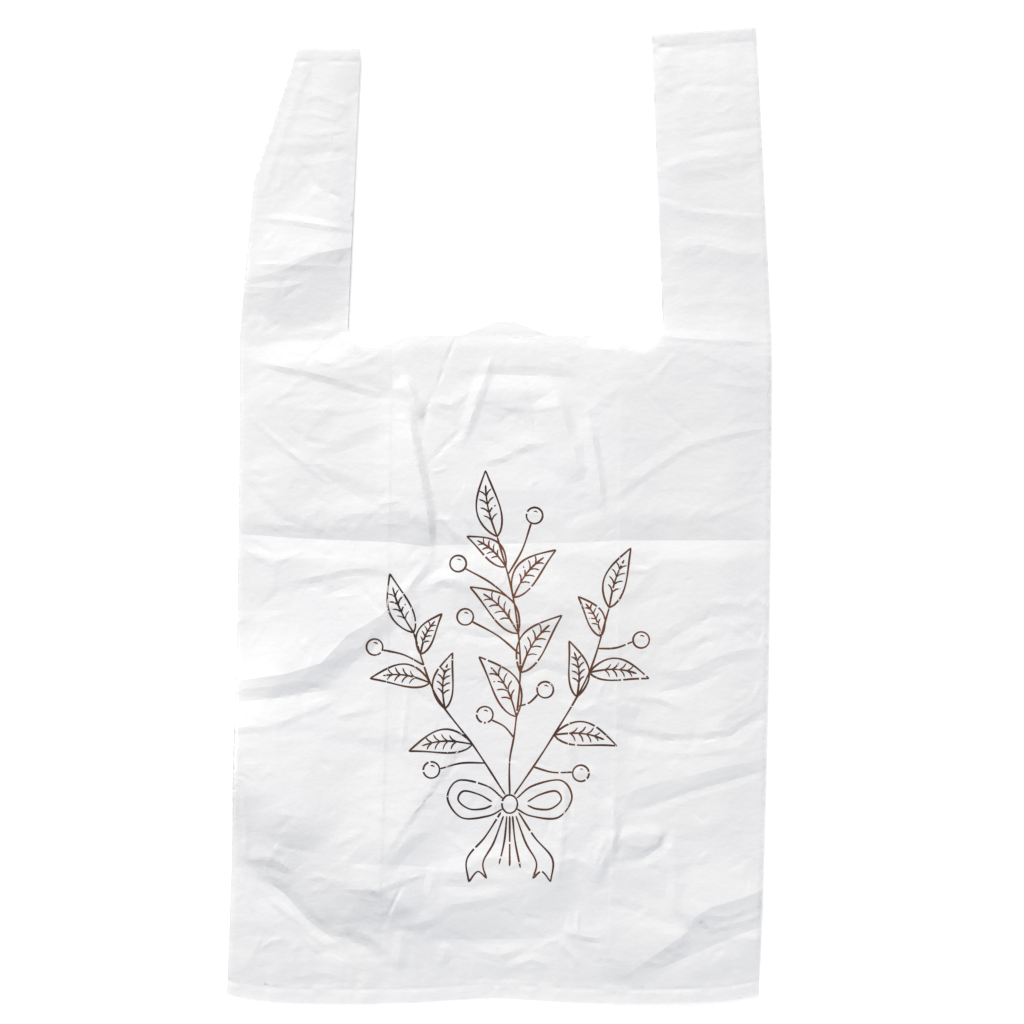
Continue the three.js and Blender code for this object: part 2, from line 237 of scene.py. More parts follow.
# %% Rounded swells, with no crease along them
SWELLS = [
    (0.8, 34, 18, [(-38, -20), (-44, 40), (-51, 82)]),
    (1.6, 22, 28, [(-42, -38), (-20, -35), (15, -42), (50, -56)]),
    (6.2, 105, 46, [(-190, -118), (-152, -141), (-128, -158), (-100, -184), (-74, -206), (-40, -226)]),
    (2.3, 60, 42, [(-190, -112), (-152, -136), (-122, -158), (-96, -186)]),
    (2.4, 30, 34, [(-70, -224), (-45, -219), (-28, -211), (0, -207), (20, -203), (48, -197)]),
    (0.7, 14, 26, [(-130, 226), (-110, 230), (-83, 231)]),
    (0.4, 16, 14, [(88, 197), (152, 206)]),
    (0.4, 14, 14, [(90, 152), (152, 149)]),
    (1.1, 10, 12, [(66, -182), (80, -181), (94, -180)]),
    (0.7, 14, 22, [(-20, 70), (10, 70), (40, 68)]),
    (0.8, 20, 26, [(-148, 66), (-120, 62), (-90, 60)]),
    (1.8, 26, 84, [(40, 94), (172, 90)]),
]

# %% Creases of the handles
HANDLE_CREASES = [
    (0.55, 3.5, 3, [(-138, 167.5), (-120, 166.5), (-100, 163.5), (-82, 160.5)]),
    (-0.45, 2.6, 2.6, [(-117, 204), (-106, 191), (-98, 180), (-90, 167)]),
    (0.9, 10, 8, [(-122, 140.5), (-112, 145), (-103, 148), (-82, 151)]),
    (0.3, 2, 3, [(-140, 141), (-126, 141.5), (-112, 140.5), (-84, 140)]),
    (0.45, 6, 3, [(-112, 234), (-102, 236.5), (-92, 233), (-83, 229.5)]),
    (-0.5, 6, 5, [(-132, 203), (-112, 202), (-98, 204.5), (-83, 205)]),
    (0.3, 3, 2, [(-122, 224), (-105, 226), (-90, 222)]),
    (0.3, 3, 2, [(-118, 216), (-104, 214), (-84, 217)]),
    (0.25, 2.5, 2, [(-124, 211), (-108, 208)]),
    (0.3, 3, 2.5, [(-92, 258), (-83, 262)]),
    (0.3, 3, 2, [(-126, 240), (-117, 241), (-108, 238)]),
    (0.45, 3.5, 3.5, [(-136, 178), (-130, 190), (-126, 203), (-118, 225), (-112, 240), (-106, 253)]),
    (0.3, 2, 2, [(-137, 163), (-129, 152)]),
    (0.3, 2, 2, [(-126, 160), (-134, 151)]),
    (-0.5, 5, 4, [(94, 239), (108, 242), (120, 242.5), (148, 241)]),
    (0.35, 3, 2.5, [(92, 240), (106, 244.5)]),
    (0.35, 3, 2.5, [(88, 247), (96, 241), (99, 237)]),
    (-0.5, 3, 4, [(104, 212), (119, 214.5), (134, 217), (152, 220)]),
    (0.8, 4, 14, [(89, 194), (104, 199.5), (117, 202), (133, 203)]),
    (0.3, 2, 5, [(104, 194), (118, 196), (130, 197)]),
    (0.8, 3.5, 9, [(88, 177.5), (94, 175.5), (104, 172)]),
    (0.7, 2.5, 6, [(98, 172.5), (121, 170), (152, 168)]),
    (0.9, 6, 12, [(96, 147), (104, 150.8), (112, 153), (125, 150.8), (136, 148), (152, 146.6)]),
    (0.5, 2.5, 6, [(88, 129), (102, 130)]),
    (0.4, 4, 12, [(94, 116), (118, 121), (150, 119)]),
]

# %% Creases of the shoulders and the upper body
UPPER_CREASES = [
    (0.8, 5, 2.5, [(86, 101.5), (100, 100), (120, 98.7), (153, 97.5)]),
    (0.35, 3, 2, [(113, 91), (132, 84), (140, 78)]),
    (0.5, 6, 4, [(118, 76), (134, 73), (152, 72)]),
    (-0.4, 2.5, 3, [(81, 72), (86, 66), (98, 54), (112, 43.5)]),
    (0.35, 3, 2.5, [(84, 73), (93, 84), (103, 94.5)]),
    (0.35, 3, 2.5, [(77, 96), (84, 86)]),
    (0.8, 6, 3.5, [(64, 10), (80, 22), (95, 32), (106, 39), (121, 43.6), (136, 47), (153, 49.5)]),
    (-0.35, 3, 3, [(64, 4), (74, 12), (84, 21)]),
    (0.35, 4, 3, [(115, -3), (125, 2), (140, 7), (152, 11)]),
    (0.5, 5, 6, [(47, 56), (57, 64), (66, 71), (80, 72)]),
    (1.0, 16, 3.8, [(-136, 86.5), (-115, 82.5), (-94, 77.5), (-74, 71), (-61, 67.5)]),
    (0.3, 2.5, 3, [(-93, 82), (-80, 85), (-66, 91.5)]),
    (0.35, 2, 2, [(-61, 89), (-55, 76)]),
    (0.45, 2.8, 2.5, [(-140, 56), (-128, 44.5), (-111, 30.4), (-92, 15)]),
    (-0.3, 3, 2.5, [(-119, 50), (-106, 41), (-94, 40)]),
    (0.8, 12, 7, [(-106, 38), (-90, 43), (-72, 50), (-58, 55)]),
    (0.25, 4, 3, [(-118, 60), (-90, 59), (-66, 62)]),
    (-0.6, 4, 6, [(-145, 22), (-136, 11), (-123, -2), (-102, -9)]),
    (0.6, 8, 4, [(-137, -5), (-115, -5.5), (-100, -7.5), (-92, -12)]),
    (1.0, 10, 15, [(-100, -7), (-85, 0.5), (-68, 2.4), (-48, 2.4)]),
    (2.2, 9, 4.6, [(-43, 54), (-48, 64), (-54, 80)]),
    (2.6, 24, 4.6, [(-38, -20), (-40, -1), (-43, 16), (-46, 30), (-48.5, 43), (-51.5, 61)]),
    (-0.4, 2, 2, [(-36, 72), (-41, 60), (-42, 48)]),
    (-0.4, 2, 2, [(-35, 72), (-29, 89), (-24, 101)]),
    (1.1, 5.5, 4, [(-21, 40), (-13, 63), (-4, 90)]),
    (-0.45, 2.4, 2.4, [(-41, 28), (-29, 40.5), (-18, 51)]),
    (0.6, 5, 3, [(-37, 64), (-27, 62), (-18, 69)]),
    (0.7, 8, 3.2, [(-10, 29.5), (1, 32.5), (16, 39.5), (27, 41)]),
    (-0.8, 5, 9, [(-20, 79), (0, 79.5), (24, 79), (44, 77)]),
    (0.4, 4, 3, [(0, 61), (20, 60), (40, 63)]),
    (-0.4, 1.8, 2, [(20.5, 46), (19.5, 60), (16.5, 75), (12.5, 89)]),
    (2.4, 16, 5.4, [(46, 18), (42, 38), (36, 56), (31, 72)]),
    (1.9, 12, 3.6, [(59, 2), (57, 16), (54, 36), (50, 57)]),
    (0.7, 4, 3, [(-36, -1), (-29, -3), (-23, -16)]),
    (0.6, 3, 3, [(-32, 0), (-25, -9), (-17, -17)]),
    (-0.5, 3, 3, [(-22, -1), (-16, -8), (-12, -18)]),
]

# %% The inner edges of the tucks show through
TUCK_EDGES = [
    (0.3, 7, 1.6, [(-68.6, -262), (-66.6, -200), (-63.2, -87), (-61.8, 10), (-61.4, 98)]),
    (0.3, 1.6, 7, [(61.4, -262), (63.4, -200), (66.8, -87), (68.2, 10), (68.6, 98)]),
]

# %% Creases of the middle, around the packing fold
MIDDLE_CREASES = [
    (-0.4, 3, 3, [(-139, -15), (-125, -23)]),
    (0.8, 9, 4, [(-118, -37), (-100, -33.5), (-87, -30.4), (-72, -29.6), (-62, -32), (-56, -36)]),
    (0.35, 3, 2.5, [(-146, -18), (-128, -27), (-108, -19)]),
    (-0.4, 2.6, 2.6, [(-85, -34), (-68, -51), (-47, -74)]),
    (1.0, 7, 5, [(-50, -64), (-49, -50), (-53, -36)]),
    (0.6, 4, 4, [(-56, -46), (-46, -34), (-38, -24)]),
    (-1.1, 7, 7, [(-158, -106), (-128, -103), (-110, -100), (-94, -98)]),
    (0.9, 8, 6, [(-104, -83), (-88, -79), (-78, -74), (-66, -60)]),
    (0.45, 5, 3, [(-129, -118), (-117, -113.6), (-102, -108), (-92, -104)]),
    (0.7, 7, 4, [(-153, -120), (-138, -118), (-125, -118.5)]),
    (0.45, 5, 3, [(-93, -113.5), (-83, -111), (-67, -108)]),
    (0.6, 4, 4, [(-49, -76), (-46.5, -88)]),
    (0.4, 2.5, 2.5, [(-55, -134), (-53, -114), (-51, -95)]),
    (-0.4, 2.5, 2.5, [(-48, -98), (-36, -108)]),
    (-0.5, 4, 5, [(68, -23), (82, -25), (92, -22)]),
    (0.45, 3, 2.5, [(68, -31.5), (85, -30.5)]),
    (0.5, 8, 6, [(66, -48), (80, -38), (90, -24)]),
    (-0.6, 6, 8, [(88, -76), (106, -64), (120, -57), (134, -56)]),
    (0.4, 3, 3, [(130, -60), (137, -66), (144, -71)]),
    (0.4, 4, 3, [(124, -50), (134, -49), (140, -53)]),
    (0.4, 4, 3, [(138, -51), (145, -47), (153, -52)]),
    (0.8, 10, 6, [(88, -88), (108, -87), (122, -80), (134, -76), (151, -74)]),
    (-0.4, 3, 4, [(88, -100), (108, -96), (126, -89)]),
    (0.6, 6, 3, [(68, -102), (80, -102.5), (90, -103), (103, -108.5)]),
    (0.6, 5, 7, [(60, -105), (72, -107), (82, -109)]),
    (-0.9, 4, 7, [(58, -117), (77, -124), (97, -127), (114, -127), (131, -124), (142, -116), (153, -108)]),
    (0.5, 4, 9, [(95, -128), (112, -129), (128, -126)]),
    (0.7, 4, 5, [(40, -150), (39, -130), (39, -112)]),
    (0.8, 6, 5, [(-42, -43), (-34, -36), (-24, -36), (-14, -43)]),
    (0.7, 5, 5, [(40, -44), (55, -62), (70, -86)]),
    (-0.5, 4, 4, [(-34, -64), (-8, -69), (18, -66)]),
    (0.5, 5, 4, [(-12, -56), (8, -61), (34, -60)]),
    (-0.6, 5, 5, [(10, -92), (26, -86), (44, -92)]),
    (0.5, 4, 4, [(34, -104), (46, -110), (58, -104)]),
]

# %% Creases of the lower body and the foot
LOWER_CREASES = [
    (0.5, 3, 3, [(-143, -196), (-142, -176), (-144, -153)]),
    (0.8, 9, 5, [(-143, -194), (-125, -193), (-116, -200)]),
    (-0.9, 6, 5, [(-139, -204), (-125, -210), (-115, -219), (-106, -230), (-99, -236), (-87, -238)]),
    (-0.8, 6, 5, [(-90, -237), (-74, -243.5), (-66, -253)]),
    (0.45, 3, 3, [(-134, -212), (-122, -222), (-110, -231), (-98, -243)]),
    (0.6, 3, 3, [(-148, -198), (-143.5, -210), (-138, -223)]),
    (0.35, 3, 3, [(-118, -228), (-108, -240), (-100, -247)]),
    (0.7, 8, 3.2, [(-87, -209.5), (-68, -210.5), (-58.5, -206), (-44, -202)]),
    (-0.5, 1.8, 1.8, [(-68, -237), (-59, -217), (-51.5, -203)]),
    (0.9, 10, 6, [(-65, -199), (-58, -189), (-50, -180.5), (-40, -177)]),
    (0.3, 3, 3, [(-93, -185), (-75, -176.5)]),
    (0.5, 3.5, 3.5, [(-29, -179), (-17, -191)]),
    (0.8, 8, 6, [(-38, -200), (-20, -200.5), (-12, -193), (0, -192), (14, -196)]),
    (-0.5, 4, 5, [(-36, -208), (-18, -209), (3, -207)]),
    (0.6, 4, 5, [(-36, -226), (-39, -212), (-36, -196)]),
    (0.5, 6, 4.5, [(-60, -232), (-47, -229.5), (-36, -226.5), (-28.5, -219), (0, -214.5), (11, -211.5)]),
    (0.4, 3, 3, [(-78, -234), (-68, -241.5), (-61, -247.5)]),
    (0.8, 5, 6, [(-57, -256), (-56, -244), (-54, -232)]),
    (0.6, 4, 4, [(-31.5, -255), (-30.5, -240)]),
    (0.5, 4, 4, [(-31, -241), (-24, -254), (-19, -263)]),
    (0.5, 5, 4, [(-16, -244), (0, -248), (16, -243)]),
    (0.4, 4, 3, [(4, -256), (18, -250), (30, -254)]),
    (0.6, 4, 3.5, [(34, -239), (39, -245.5), (47, -253)]),
    (0.4, 2, 2, [(44, -236), (44.4, -222)]),
    (0.6, 6, 3, [(36, -234), (48, -237), (61, -239)]),
    (0.5, 2.5, 2.5, [(60.6, -265), (58.5, -251), (57, -240)]),
    (0.4, 2.5, 2.5, [(43.5, -265), (41.5, -250)]),
    (0.6, 4, 3, [(33, -208), (34, -194), (36.5, -166), (37.5, -146)]),
    (-0.5, 2, 2, [(41, -171), (39.5, -155), (38.5, -138)]),
    (0.7, 4, 4, [(41.5, -147), (47, -143), (56, -147)]),
    (0.5, 3, 4, [(32, -195), (42, -193), (51, -196)]),
    (-0.4, 3, 4, [(67, -170), (84, -165), (108, -155.5), (153, -143)]),
    (0.9, 8, 4, [(64, -185), (65, -170), (62, -158)]),
    (1.3, 12, 5, [(54, -208), (58, -195), (65, -183), (66, -176)]),
    (0.4, 2.5, 2.5, [(54, -196), (57, -188), (61, -180)]),
    (-0.6, 3, 5, [(66, -195), (80, -193.5), (91, -187), (98, -174)]),
    (0.4, 4, 3, [(72, -185), (80, -187), (88, -184)]),
    (0.6, 5, 6, [(99, -224), (99, -200), (97, -174)]),
    (-0.5, 5, 6, [(60, -217), (74, -222), (90, -228), (105, -233)]),
    (0.35, 3, 3, [(112, -224), (128, -226), (150, -218)]),
    (0.3, 3, 3, [(120, -233), (136, -229), (152, -224)]),
    (0.4, 3, 3, [(132, -265), (144, -262)]),
    (0.35, 3, 3, [(-124, -262), (-100, -258), (-76, -262)]),
]
fine_creases = TUCK_EDGES + HANDLE_CREASES + UPPER_CREASES + MIDDLE_CREASES + LOWER_CREASES
print("folds:", len(BROAD_FOLDS), "broad,", len(SWELLS), "rounded and", len(fine_creases), "fine")

# %% [markdown]
# ## Crumple
#
# Between its creases the film isn't smooth: handling leaves it in small flat facets that meet at
# faint straight edges. Noise textures give round lumps, which would look like cloth. Instead,
# random points get random heights and are joined into triangles, and each triangle is one flat
# facet. Stretching the points sideways gives facets that lie across the bag, as they do here.

# %% Flat facets between random points
class Facets:
    """Flat facets over the whole bag. spacing is their size, stretch how much longer they are than
    wide, depth how far their corners stand up or down, and turn the angle they lie at."""

    def __init__(self, spacing, stretch, depth, turn, seed):
        random = np.random.default_rng(seed)
        self.axis = np.array([math.cos(turn), math.sin(turn)]) / (spacing * stretch)
        self.cross = np.array([-math.sin(turn), math.cos(turn)]) / spacing
        corners = [(x, y) for x in (-HALF, HALF) for y in (-BAG_LENGTH / 2, BAG_LENGTH / 2)]
        corners = np.array(corners) * 1.1
        turned_corners = np.stack([corners @ self.axis, corners @ self.cross], -1)
        low, high = turned_corners.min(0) - 1, turned_corners.max(0) + 1
        columns, rows = np.ceil(high - low).astype(int)
        grid = np.stack(np.meshgrid(np.arange(columns), np.arange(rows)), -1).reshape(-1, 2) + low
        self.sites = grid + random.uniform(-0.48, 0.48, grid.shape)
        self.levels = random.normal(0, depth, len(self.sites))
        joined = delaunay_2d_cdt([Vector(site) for site in self.sites], [], [], 0, 1e-6)
        self.edges, self.triangles = joined[1:3]

    def height(self, x, y):
        p = x * self.axis[0] + y * self.axis[1]
        q = x * self.cross[0] + y * self.cross[1]
        height = np.zeros(x.shape)
        for triangle in self.triangles:
            corners, levels = self.sites[list(triangle)], self.levels[list(triangle)]
            (low_p, low_q), (high_p, high_q) = corners.min(0), corners.max(0)
            near = np.flatnonzero((p >= low_p) & (p <= high_p) & (q >= low_q) & (q <= high_q))
            if not len(near):
                continue
            (ax, ay), (bx, by), (cx, cy) = corners
            whole = (by - cy) * (ax - cx) + (cx - bx) * (ay - cy)
            first = ((by - cy) * (p[near] - cx) + (cx - bx) * (q[near] - cy)) / whole
            second = ((cy - ay) * (p[near] - cx) + (ax - cx) * (q[near] - cy)) / whole
            third = 1 - first - second
            inside = (first >= -1e-9) & (second >= -1e-9) & (third >= -1e-9)
            value = first * levels[0] + second * levels[1] + third * levels[2]
            height[near[inside]] = value[inside]
        return height

    def lines(self):
        """Where two facets meet, as lines on the table."""
        back = np.linalg.inv(np.stack([self.axis, self.cross]))
        places = self.sites @ back.T
        return [places[list(edge)] for edge in self.edges]


wide_facets = Facets(34, 2.2, 0.36, -0.15, seed=11)
small_facets = Facets(14, 1.7, 0.17, 0.2, seed=12)
tiny_facets = Facets(6.5, 1.6, 0.045, -0.3, seed=13)
pucker_facets = [
    Facets(3.4, 6.0, 0.16, math.pi / 2, seed=21),
    Facets(7.0, 4.0, 0.2, math.pi / 2 - 0.1, seed=22),
]
print("facets:", len(wide_facets.triangles), "wide,", len(small_facets.triangles), "small")

# %% [markdown]
# ## How high the film stands
#
# The bag is nearly flat, but air and stiff folds hold it a few millimetres off the table: least at
# the side folds and the welds, most in the middle. The four layers at the sides share that height.

# %% The height of the top film, in millimetres
EDGE_LOFT, SIDE_LOFT, CENTRE_LOFT = 3.4, 4.4, 5.8
MOUTH_LOFT, HANDLE_LOFT, CUT_LOFT, FOOT_LOFT = 3.4, 4.0, 3.1, 3.3
FOLD_SHARPNESS = 1.15


def loose_height(u, v, x, y):
    from_side = HALF - np.abs(u)
    side = lerp(EDGE_LOFT, SIDE_LOFT, smoothstep(from_side, 0, GUSSET_DEPTH / 3))
    middle = lerp(CENTRE_LOFT, MOUTH_LOFT, smoothstep(v, NECKLINE - 2 * HANDLE_WIDTH, NECKLINE))
    body = lerp(side, middle, smoothstep(from_side, GUSSET_DEPTH * 0.7, GUSSET_DEPTH * 1.2))
    body = lerp(FOOT_LOFT, body, smoothstep(v, 0, NECKLINE / 3))
    handle = lerp(EDGE_LOFT, HANDLE_LOFT, smoothstep(from_side, 0, HANDLE_WIDTH / 3))
    handle = lerp(CUT_LOFT, handle, smoothstep(HANDLE_WIDTH - from_side, -2, HANDLE_WIDTH / 4))
    on_handle = smoothstep(v, NECKLINE - MOUTH_RADIUS, NECKLINE + HANDLE_WIDTH / 2)
    height = lerp(body, handle, on_handle)
    for rise, left, right, line in BROAD_FOLDS:
        add_crease(height, x, y, line, rise, left, right, sharp=FOLD_SHARPNESS)
    for rise, left, right, line in SWELLS:
        add_crease(height, x, y, line, rise, left, right, rounded=True)
    return height


# %% Crumple on top of that height
CREASE_DEPTH = 0.85
STRAY_CREASES = 700
UPPER_CALM = 0.45
PUCKER_REACH, PUCKER_START, LEAST_PUCKER = 17.0, 2.5, 0.15


def stray_creases(count, seed):
    """Short creases all over, mostly lying across the bag, as handling leaves them."""
    random = np.random.default_rng(seed)
    for _ in range(count):
        start = np.array([random.uniform(-150, 150), random.uniform(-262, 262)])
        angle = random.normal(0.1, 0.75)
        length = random.uniform(4, 12) + 16 * random.random() ** 3
        bend = random.normal(0, 0.12) * length
        along = np.array([math.cos(angle), math.sin(angle)])
        across = np.array([-along[1], along[0]])
        line = [start, start + along * length / 2 + across * bend, start + along * length]
        rise = random.uniform(0.08, 0.3) * random.choice([-1, 1])
        yield rise, random.uniform(1.6, 4), random.uniform(1.6, 4), line


all_strays = list(stray_creases(STRAY_CREASES, seed=14))


def calmness(x, y):
    """1 where the film is as crumpled as anywhere, less at the upper right, which lies smoother."""
    return 1 - UPPER_CALM * smoothstep(x, 20, 80) * smoothstep(y, -60, 0)


def crumple(x, y):
    height = wide_facets.height(x, y) + small_facets.height(x, y) + tiny_facets.height(x, y)
    for rise, left, right, line in fine_creases + all_strays:
        add_crease(height, x, y, line, rise * CREASE_DEPTH, left, right)
    return height * calmness(x, y)


def puckers(x, y, from_end):
    """Short upright folds that run up from a weld, because heat shrinks the film there."""
    past = np.abs(from_end - SEAL_INSET)
    height = sum(facets.height(x, y) for facets in pucker_facets)
    return height * np.exp(-past / PUCKER_REACH) * np.clip(past / PUCKER_START, LEAST_PUCKER, 1)


# %% Crisp lines, which the net of triangles has to keep
CRISP_REACH, CROWDED = 9.0, 0.6


def crisp_lines(step):
    """Every crest and the foot of every steep side, as lines of the pattern. A point is dropped
    where an earlier line already runs, since two crisp lines so close would leave slivers."""
    lines = [np.array(line, float) for *_, line in BROAD_FOLDS] + small_facets.lines()
    for _, left, right, line in fine_creases + all_strays:
        crest = resample(np.array(line, float), step)
        ahead = np.gradient(crest, axis=0)
        ahead /= np.linalg.norm(ahead, axis=1, keepdims=True)
        leftwards = np.stack([-ahead[:, 1], ahead[:, 0]], -1)
        fullness = narrowing(np.linspace(0, 1, len(crest)), 1)[:, None]
        lines.append(crest)
        if left < CRISP_REACH:
            lines.append(crest + leftwards * left * reach_share(fullness))
        if right < CRISP_REACH:
            lines.append(crest - leftwards * right * reach_share(fullness))
    taken = set()
    for line in lines:
        u, v = unplan(*resample(line, step).T)
        on_bag = (np.abs(u) < HALF) & (v > 0) & (v < BAG_LENGTH)
        cells = [(math.floor(a / CROWDED), math.floor(b / CROWDED)) for a, b in zip(u, v)]
        on_bag &= [cell not in taken for cell in cells]
        taken.update((a + i, b + j) for a, b in cells for i in (-1, 0, 1) for j in (-1, 0, 1))
        for run in np.split(np.arange(len(u)), np.flatnonzero(~on_bag)):
            run = run[on_bag[run]]
            if len(run) > 1:
                yield np.stack([u[run], v[run]], -1)


# %% The corner of the left handle is folded under
FOLD_DOWN, FOLD_ACROSS = 78.0, 20.0
FOLD_MARGIN, FOLD_EASE = 8.0, 26.0
fold_u = np.array([-HALF, -HALF + FOLD_ACROSS])
fold_v = np.array([BAG_LENGTH - FOLD_DOWN, BAG_LENGTH])
fold_foot, fold_head = np.stack(plan(fold_u, fold_v), -1)
fold_along = (fold_head - fold_foot) / np.linalg.norm(fold_head - fold_foot)
fold_outwards = np.array([-fold_along[1], fold_along[0]])


def beyond_fold(x, y):
    """How far a point lies beyond the fold line, in millimetres."""
    return (x - fold_foot[0]) * fold_outwards[0] + (y - fold_foot[1]) * fold_outwards[1]


def over_flap(x, y):
    """1 where the handle lies over its folded corner, 0 well away from it."""
    tucked = np.stack(plan(np.array([-HALF]), np.array([BAG_LENGTH])), -1)[0]
    tucked = tucked - 2 * beyond_fold(*tucked) * fold_outwards
    edge = (tucked - fold_foot) / np.linalg.norm(tucked - fold_foot)
    past = edge[0] * (y - fold_foot[1]) - edge[1] * (x - fold_foot[0])
    return smoothstep(past, -FOLD_MARGIN - FOLD_EASE, -FOLD_MARGIN)


# %% The welds and the folded corner hold the film down
FOLD_LIFT = 2.55
PRESSED, SKIRT_GAP = 2.05, 0.1
SEAL_DEPTH = 0.12
WELD_CALM, CRUMPLE_START, FOLDED_CALM = 1.0, 16.0, 0.4


def stack_height(u, v, x, y):
    """Height of the top film, how far the whole stack is lifted off the table, and how free the
    film is to crumple."""
    from_end = np.minimum(v, BAG_LENGTH - v)
    past_weld = np.clip((from_end - SEAL_INSET - SEAL_WIDTH) / SEAL_EASE, 0, 1)
    opened = 1 - (1 - past_weld) ** 2
    skirt = SKIRT_GAP * np.clip(1 - from_end / (SEAL_INSET - SEAL_WIDTH), 0, 1)
    loose = np.maximum(loose_height(u, v, x, y), PRESSED + SKIRT_GAP)
    folded = np.where(u < 0, over_flap(x, y), 0)
    pressed = lerp(PRESSED + skirt, loose, opened)
    weld = SEAL_DEPTH * np.clip(1 - np.abs(from_end - SEAL_INSET) / (SEAL_WIDTH / 2), 0, 1) ** 0.5
    free = smoothstep(np.abs(from_end - SEAL_INSET), WELD_CALM, CRUMPLE_START)
    free = free * (1 - FOLDED_CALM * folded)
    return lerp(pressed, PRESSED, folded) - weld, FOLD_LIFT * folded, free


# %% [markdown]
# ## The film
#
# Each layer is cut from the same pattern and lies at its own height. A net of small triangles takes
# the pattern's outline exactly, because the outline's edges are given to it as edges it must keep.
# A grid would leave steps along the punched mouth, and cutting with another mesh would leave slivers.
# The top film has the finest net, since it shows most.

# %% The punched mouth's outline
def arc(cx, cy, radius, start, end, steps):
    angles = np.radians(np.linspace(start, end, steps + 1))
    return [(cx + radius * math.cos(a), cy + radius * math.sin(a)) for a in angles]


def bezier(p0, p1, p2, p3, steps):
    t = np.linspace(0, 1, steps + 1)[1:-1, None]
    p0, p1, p2, p3 = (np.array(p, float) for p in (p0, p1, p2, p3))
    curve = (1 - t) ** 3 * p0 + 3 * (1 - t) ** 2 * t * p1 + 3 * (1 - t) * t**2 * p2 + t**3 * p3
    return [tuple(p) for p in curve]


def mouth_half():
    """The right half of the mouth's outline, from the tongue's foot to the top of the handle."""
    inner = HALF - HANDLE_WIDTH
    floor = NECKLINE - MOUTH_DIP
    corner_end = inner - MOUTH_RADIUS - MOUTH_RISE
    fall_start = (corner_end + MOUTH_RISE / 3, NECKLINE)
    fall_end = (inner - MOUTH_RADIUS * 1.6, floor)
    foot = (inner - MOUTH_RADIUS, floor)
    rise = bezier((corner_end, NECKLINE), fall_start, fall_end, foot, 12)
    corner = arc(inner - MOUTH_RADIUS, floor + MOUTH_RADIUS, MOUTH_RADIUS, -90, 0, 14)
    return [(corner_end, NECKLINE)] + rise + corner + [(inner, BAG_LENGTH + 6)]


def mouth_outline(tongue):
    """The waste's outline. Only the back film keeps the tongue where the bag was torn off its block."""
    top = (TAB_TOP / 2, NECKLINE + TAB_HEIGHT)
    shoulder = (TAB_FOOT * 0.34, NECKLINE + TAB_HEIGHT * 0.38)
    right = ([top, shoulder, (TAB_FOOT / 2, NECKLINE)] if tongue else []) + mouth_half()
    return [(-u, v) for u, v in reversed(right)] + right


def inside_polygon(u, v, polygon):
    inside = np.zeros(u.shape, bool)
    for (u0, v0), (u1, v1) in zip(polygon, polygon[1:] + polygon[:1]):
        crosses = (v0 > v) != (v1 > v)
        if v0 != v1:
            inside ^= crosses & (u < (u1 - u0) * (v - v0) / (v1 - v0) + u0)
    return inside


# %% Points for a net over part of the pattern
RIM_STEP = 2.5
CLEARANCE = 0.55


def rim_line(u_low, u_high, spacing):
    """The outline of a layer, walked once round."""
    up = np.linspace(0, BAG_LENGTH, int(BAG_LENGTH / RIM_STEP) + 1)
    across = np.linspace(u_low, u_high, max(2, int((u_high - u_low) / spacing)))
    rim = [(u, 0) for u in across[:-1]] + [(u_high, v) for v in up[:-1]]
    return rim + [(u, BAG_LENGTH) for u in across[:0:-1]] + [(u_low, v) for v in up[:0:-1]]


def inner_points(u_low, u_high, spacing, mouth, given):
    """Points in rows, none of them in the mouth or too close to the given ones."""
    taken = KDTree(len(given))
    for i, (u, v) in enumerate(given):
        taken.insert((u, v, 0), i)
    taken.balance()
    row = spacing * math.sqrt(3) / 2
    rows = int(BAG_LENGTH / row)
    inner = []
    for j in range(1, rows):
        offset = spacing / 2 if j % 2 else 0
        us = np.arange(u_low + spacing * 0.6 + offset, u_high - spacing * 0.4, spacing)
        inner.append(np.stack([us, np.full(us.shape, j * BAG_LENGTH / rows)], -1))
    inner = np.concatenate(inner)
    inner = inner[~inside_polygon(inner[:, 0], inner[:, 1], mouth)]
    return [p for p in inner if taken.find((*p, 0))[2] > spacing * CLEARANCE]


# %% A net of triangles over part of the pattern
def net(u_low, u_high, spacing, mouth, extra_lines=(), crisp=()):
    """Points and triangles covering the pattern from u_low to u_high, apart from the mouth, and the
    pairs of points joined by a crisp line."""
    points, edges = [], []

    def keep_edges(line, closed=False):
        start = len(points)
        points.extend(line)
        edges.extend((start + i, start + i + 1) for i in range(len(line) - 1))
        if closed:
            edges.append((len(points) - 1, start))

    keep_edges(rim_line(u_low, u_high, spacing), closed=True)
    keep_edges(mouth, closed=True)
    for line in extra_lines:
        keep_edges(line)
    plain_edges = len(edges)
    for line in crisp:
        keep_edges([tuple(p) for p in line])
    inner = inner_points(u_low, u_high, spacing, mouth, points)
    flat = [Vector(p) for p in points] + [Vector(p) for p in inner]
    coords, joined, triangles, _, origins, _ = delaunay_2d_cdt(flat, edges, [], 0, 1e-3)
    coords = np.array([tuple(c) for c in coords])
    triangles = np.array([t for t in triangles if len(t) == 3])
    mid_u, mid_v = coords[triangles].mean(axis=1).T
    kept = ~inside_polygon(mid_u, mid_v, mouth)
    kept &= (mid_u > u_low) & (mid_u < u_high) & (mid_v > 0) & (mid_v < BAG_LENGTH)
    used, triangles = np.unique(triangles[kept], return_inverse=True)
    new_index = np.full(len(coords), -1)
    new_index[used] = np.arange(len(used))
    is_crisp = [any(plain_edges <= given < len(edges) for given in origin) for origin in origins]
    creased = [pair for pair, crisp_edge in zip(joined, is_crisp) if crisp_edge]
    creased = new_index[np.array(creased, int).reshape(-1, 2)]
    return coords[used], triangles.reshape(-1, 3), creased[(creased >= 0).all(axis=1)]


